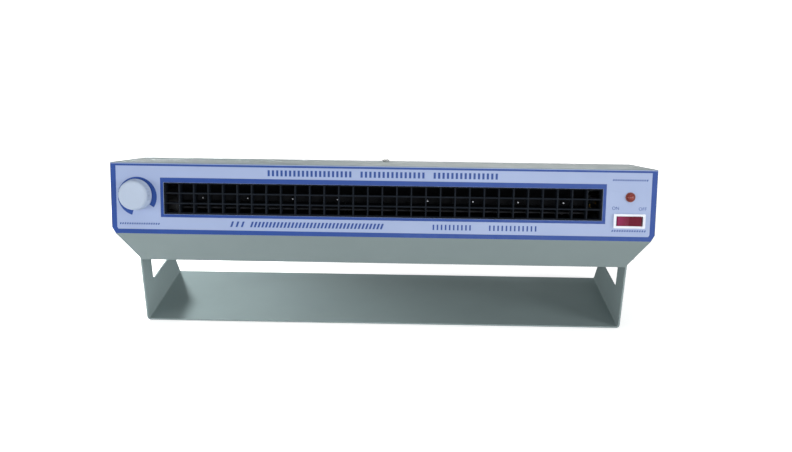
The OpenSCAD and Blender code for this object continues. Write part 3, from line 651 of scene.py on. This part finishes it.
# ------------------------------------------------------------------ speed knob and lamp
def knob():
    """A moulded knob: low skirt, shallow flutes that fade out towards a dished face, blind bore."""
    radius, height = (KNOB.x1 - KNOB.x0) / 2, KNOB.b1 - KNOB.b0
    face_r, edge_r = radius - 1.2 * MM, 3 * MM
    foot, bore, bore_end = 0.2 * MM, 3.05 * MM, height - 3 * MM
    # how far the side stands in from the radius, and at what height, in mm
    side = [(0.6, 0.2), (0.1, 0.6), (0, 1.2), (0.1, 1.7), (0.5, 2.1), (0.6, 2.6), (0.7, 4.0), (0.95, 6.5)]
    # share of the face's radius, and how far the face is sunk there, in mm
    dish = [(0.72, 0.04), (0.6, 0.16), (0.35, 0.38), (0.15, 0.46), (0, 0.48)]
    profile = [(0, bore_end), (bore, bore_end), (bore, foot)]
    profile += [(radius - inset * MM, h * MM) for inset, h in side]
    profile.append((face_r, height - edge_r - 0.6 * MM))
    profile += arc(face_r - edge_r, height - edge_r, edge_r, 0, 90, 10)
    profile += [(face_r * share, height - sunk * MM) for share, sunk in dish]
    flutes, flute_depth, flute_from, fade_from = 24, 0.035, 2.4 * MM, 6 * MM

    def flute(a, r, h):
        if h < flute_from or r < face_r - edge_r:
            return 1.0
        fade = 1.0 - max(0.0, (h - fade_from) / (height - fade_from))
        return 1.0 - flute_depth * fade * max(0.0, math.cos(a * flutes)) ** 2

    bm = bmesh.new()
    revolve(bm, profile, (KNOB.x, KNOB.b1, KNOB.u), segments=288, radial=flute)
    add("speed_knob_cap", bm, "knob", "speed_knob", stands_for="speed_knob", smooth=50)


def lamp_dome():
    """A flattened dome on a short round foot."""
    r, foot, rim, proud = 3.9 * MM, -2 * MM, 0.2 * MM, 0.6 * MM
    flattening = 0.72
    profile = [(0, foot), (r, foot), (r, rim)]
    profile += [(x, rim + flattening * h) for x, h in arc(0, 0, r, 9, 81, 8)]
    profile.append((0, rim + flattening * r))
    bm = bmesh.new()
    revolve(bm, profile, (LAMP.x, OVERLAY.b0 - proud, LAMP.u))
    add("lamp_dome", bm, "lamp", "casing", stands_for="lamp_lens")


def lamp_collar():
    """The moulded collar round the lens, with its sleeve behind the panel. Radii and heights in mm."""
    inner, sleeve, outer, sleeve_end, proud = 3.95, 4.6, 5.4, -8, 1
    front = [(inner, 0.7), (inner + 0.35, proud), (outer - 0.5, proud), (outer - 0.12, 0.8), (outer, 0.4)]
    profile = [(inner, sleeve_end)] + front + [(outer, 0), (sleeve, 0), (sleeve, sleeve_end)]
    bm = bmesh.new()
    revolve(bm, [(r * MM, h * MM) for r, h in profile], (LAMP.x, OVERLAY.b0, LAMP.u), closed=True)
    add("lamp_collar", bm, "collar", "casing", stands_for="lamp_holder")


knob()
lamp_dome()
lamp_collar()


# ------------------------------------------------------------------ screws, stud and filter
def cross_cutter(cuts):
    """Tapered crosses for driver slots, each a (centre, axis, radius of the slot)."""
    arm, sunk, above = 0.26, 0.75, 0.2 * MM
    narrow, wide = 0.55, 1.25
    bm = bmesh.new()
    for centre, axis, reach in cuts:
        x, y = square_to(axis)
        a, b = reach, reach * arm
        cross = [(a, b), (b, b), (b, a), (-b, a), (-b, b), (-a, b)]
        cross += [(-px, -py) for px, py in cross]
        low, high = [[bm.verts.new(centre + axis * h + (x * px + y * py) * scale) for px, py in cross]
                     for h, scale in ((-sunk * reach, narrow), (above + reach, wide))]
        wall(bm, [low, high])
        bm.faces.new(low)
        bm.faces.new(high[::-1])
    return bpy.data.objects.new("cutter", from_bm("cutter", bm))


def carved(node, cuts):
    """A copy of a CAD node's mesh with driver slots cut into it."""
    cutter = cross_cutter(cuts)
    blank = bpy.data.objects.new("blank", nodes[node].data.copy())
    cut = blank.modifiers.new("cut", "BOOLEAN")
    cut.operation = "DIFFERENCE"
    cut.solver = "EXACT"
    cut.object = cutter
    return without_slivers(evaluated(blank, cutter))


def screws():
    """Driver slots in the heads of the cover's and the intake's screws."""
    top_slot, side_slot, rear_slot = 2.3 * MM, 1.7 * MM, 1.6 * MM
    top_b, side_b, side_u = COVER.b1 - 9 * MM, (34 * MM, COVER.b1 - 20 * MM), 8 * MM
    rear_x, rear_inset = INTAKE.x1 - 4 * MM, 3.5 * MM
    cover = [(CASE @ Vector((0, top_b, COVER_HEADS.u1)), UP, top_slot)]
    for side in (-1, 1):
        for b in side_b:
            cover.append((CASE @ Vector((side * COVER_HEADS.x1, b, side_u)), RIGHT * side, side_slot))
    rear = [(CASE @ Vector((x, INTAKE_HEADS.b1, u)), BACK, rear_slot)
            for x in (-rear_x, 0, rear_x) for u in (INTAKE.u0 + rear_inset, INTAKE.u1 - rear_inset)]
    for group, cuts in (("cover", cover), ("intake", rear)):
        node = group + "_screws"
        add(group + "_screw_set", carved(node, cuts), "steel", "casing", WORLD, node)


def ground_stud():
    """The stud: a hexagon head inside, and a shank with its thread's ridges."""
    crest, core, pitch, plain = 2.0 * MM, 1.7 * MM, 0.7 * MM, 3.2 * MM
    length = STUD.b1 - STUD.b0
    ridges = int((length - plain) / pitch)
    profile = [(0, 0), (core, 0)]
    for i in range(ridges):
        h = plain + i * pitch
        profile += [(core, h), (crest, h + 0.4 * pitch), (crest, h + 0.6 * pitch)]
    profile += [(core, plain + ridges * pitch), (crest - 0.4 * MM, length), (0, length)]
    bm = bmesh.new()
    revolve(bm, profile, (STUD.x, STUD.b0, STUD.u), (0, 1, 0), segments=40)
    head_r, head_h = STUD.x1 - STUD.x, 3 * MM
    prism(bm, arc(STUD.x, STUD.u, head_r, 30, 330, 5), STUD.b0, STUD.b0 + head_h)
    add("ground_stud_thread", bm, "brass", "casing", stands_for="ground_stud", smooth=40)


def filter_foam():
    """The open-celled mat behind the intake: soft edges and pitted faces."""
    rng = random.Random(7)
    across, upward = 190, 30
    sunk_edge, deepest_pit = [0.75 * MM, 0.25 * MM], 0.55
    bm = bmesh.new()

    def face(b, inward):
        """A grid of cells at depth b, rounded off along its edge and pitted elsewhere."""
        rows = []
        for j in range(upward + 1):
            row = []
            for i in range(across + 1):
                x = FOAM.x0 + (FOAM.x1 - FOAM.x0) * i / across
                u = FOAM.u0 + (FOAM.u1 - FOAM.u0) * j / upward
                from_edge = min(i, across - i, j, upward - j)
                sunk = sunk_edge[from_edge] if from_edge < 2 else rng.uniform(0.0, deepest_pit) * MM
                row.append(bm.verts.new((x, b + inward * sunk, u)))
            rows.append(row)
        wall(bm, rows, closed=False)
        return rows

    def outline(rows):
        """The points round the edge of a face, in order."""
        return rows[0] + [row[-1] for row in rows[1:]] + rows[-1][-2::-1] + [row[0] for row in rows[-2:0:-1]]

    front, back = face(FOAM.b0, 1), face(FOAM.b1, -1)
    wall(bm, [outline(front), outline(back)])
    add("filter_foam", bm, "foam", "casing", stands_for="filter_mat", smooth=80)


screws()
ground_stud()
filter_foam()


# ------------------------------------------------------------------ room, light, camera
def seen_directly(n, strength):
    """`strength` for camera, glossy and transmission rays, else 0."""
    path = n.new("ShaderNodeLightPath").outputs
    seen = n.math("MAXIMUM", path["Is Camera Ray"], path["Is Glossy Ray"])
    seen = n.math("MAXIMUM", seen, path["Is Transmission Ray"])
    return n.math("MULTIPLY", seen, strength)


def floor_finish():
    """Keeps the shadow near the object and fades to plain white away from it."""
    n = Finish("floor")
    n.surface({"Base Color": (0.86, 0.86, 0.86, 1), "Roughness": 0.9, "Specular IOR Level": 0.0})
    away = n.new("ShaderNodeVectorMath", {0: n.coords}, operation="LENGTH").outputs["Value"]
    fade = n.span(away, 0.60, 1.0, from_low=0.35, from_high=1.0)
    glow = n.new("ShaderNodeEmission", {"Strength": seen_directly(n, fade)}).outputs["Emission"]
    both = n.new("ShaderNodeAddShader", {0: n.shader.outputs["BSDF"], 1: glow}).outputs["Shader"]
    n.put(n.tree.nodes["Material Output"].inputs["Surface"], both)
    return n.material


def room():
    mesh = bpy.data.meshes.new("floor")
    half, below = 6.0, 0.3 * MM
    corners = [(-half, -half, 0), (half, -half, 0), (half, half, 0), (-half, half, 0)]
    mesh.from_pydata(corners, [], [(0, 1, 2, 3)])
    mesh.materials.append(floor_finish())
    floor = bpy.data.objects.new("floor", mesh)
    floor.location.z = -below
    bpy.context.scene.collection.objects.link(floor)


def world():
    """White where it is seen directly, and a low even light on everything else."""
    ambient = 0.20
    studio = bpy.data.worlds.new("studio")
    bpy.context.scene.world = studio
    studio.use_nodes = True
    n = Nodes(studio.node_tree)
    background = n.tree.nodes["Background"]
    n.put(background.inputs["Color"], (1, 1, 1, 1))
    n.put(background.inputs["Strength"], n.math("MAXIMUM", seen_directly(n, 1.0), ambient))


def lamp_area(name, azimuth, elevation, distance, size, level, aim=(0, 0, 0.1), spread=180):
    """A soft lamp. Unless its spread is narrowed, a white surface that faces it renders at `level`.

    Angles are in degrees; azimuth 0 is in front and 90 to the right. The lamp stands `distance` from `aim`.
    """
    light = bpy.data.lights.new(name, "AREA")
    light.shape = "RECTANGLE"
    light.size, light.size_y = size
    light.energy = level * math.pi ** 2 * distance ** 2
    light.spread = math.radians(spread)
    az, el = math.radians(azimuth), math.radians(elevation)
    toward = Vector((math.sin(az) * math.cos(el), -math.cos(az) * math.cos(el), math.sin(el)))
    o = bpy.data.objects.new(name, light)
    o.location = Vector(aim) + toward * distance
    o.rotation_mode = "QUATERNION"
    o.rotation_quaternion = (-toward).to_track_quat("-Z", "Y")
    bpy.context.scene.collection.objects.link(o)


def camera():
    """In front of the stand and above it, looking a little to the left of straight back."""
    place = Vector((0.0311, -0.8976, 0.4536))
    look_down, look_aside, roll = 0.377, 0.019, 0.009  # radians
    view = bpy.data.cameras.new("camera")
    view.lens = 36.143
    view.sensor_width = 36.0
    view.clip_start = 0.01
    view.clip_end = 50
    o = bpy.data.objects.new("camera", view)
    bpy.context.scene.collection.objects.link(o)
    turn = Matrix.Rotation(look_aside, 4, "Z") @ Matrix.Rotation(math.pi / 2 - look_down, 4, "X")
    o.matrix_world = Matrix.Translation(place) @ turn @ Matrix.Rotation(roll, 4, "Z")
    bpy.context.scene.camera = o


room()
world()
lamp_area("front", 12, 9, 2.4, (1.4, 0.6), 0.30)
lamp_area("left", -56, 9, 1.8, (0.7, 0.4), 0.32)
lamp_area("right", 62, 12, 2.0, (0.7, 0.5), 0.34)
lamp_area("left_back", -150, 24, 1.5, (0.25, 0.2), 0.030, aim=(-0.28, 0.02, 0), spread=18)
lamp_area("rear", 172, 6, 2.4, (1.4, 0.3), 0.30)
lamp_area("top", 0, 84, 2.4, (1.4, 0.5), 0.20)
camera()
bpy.context.scene.view_settings.view_transform = "Standard"
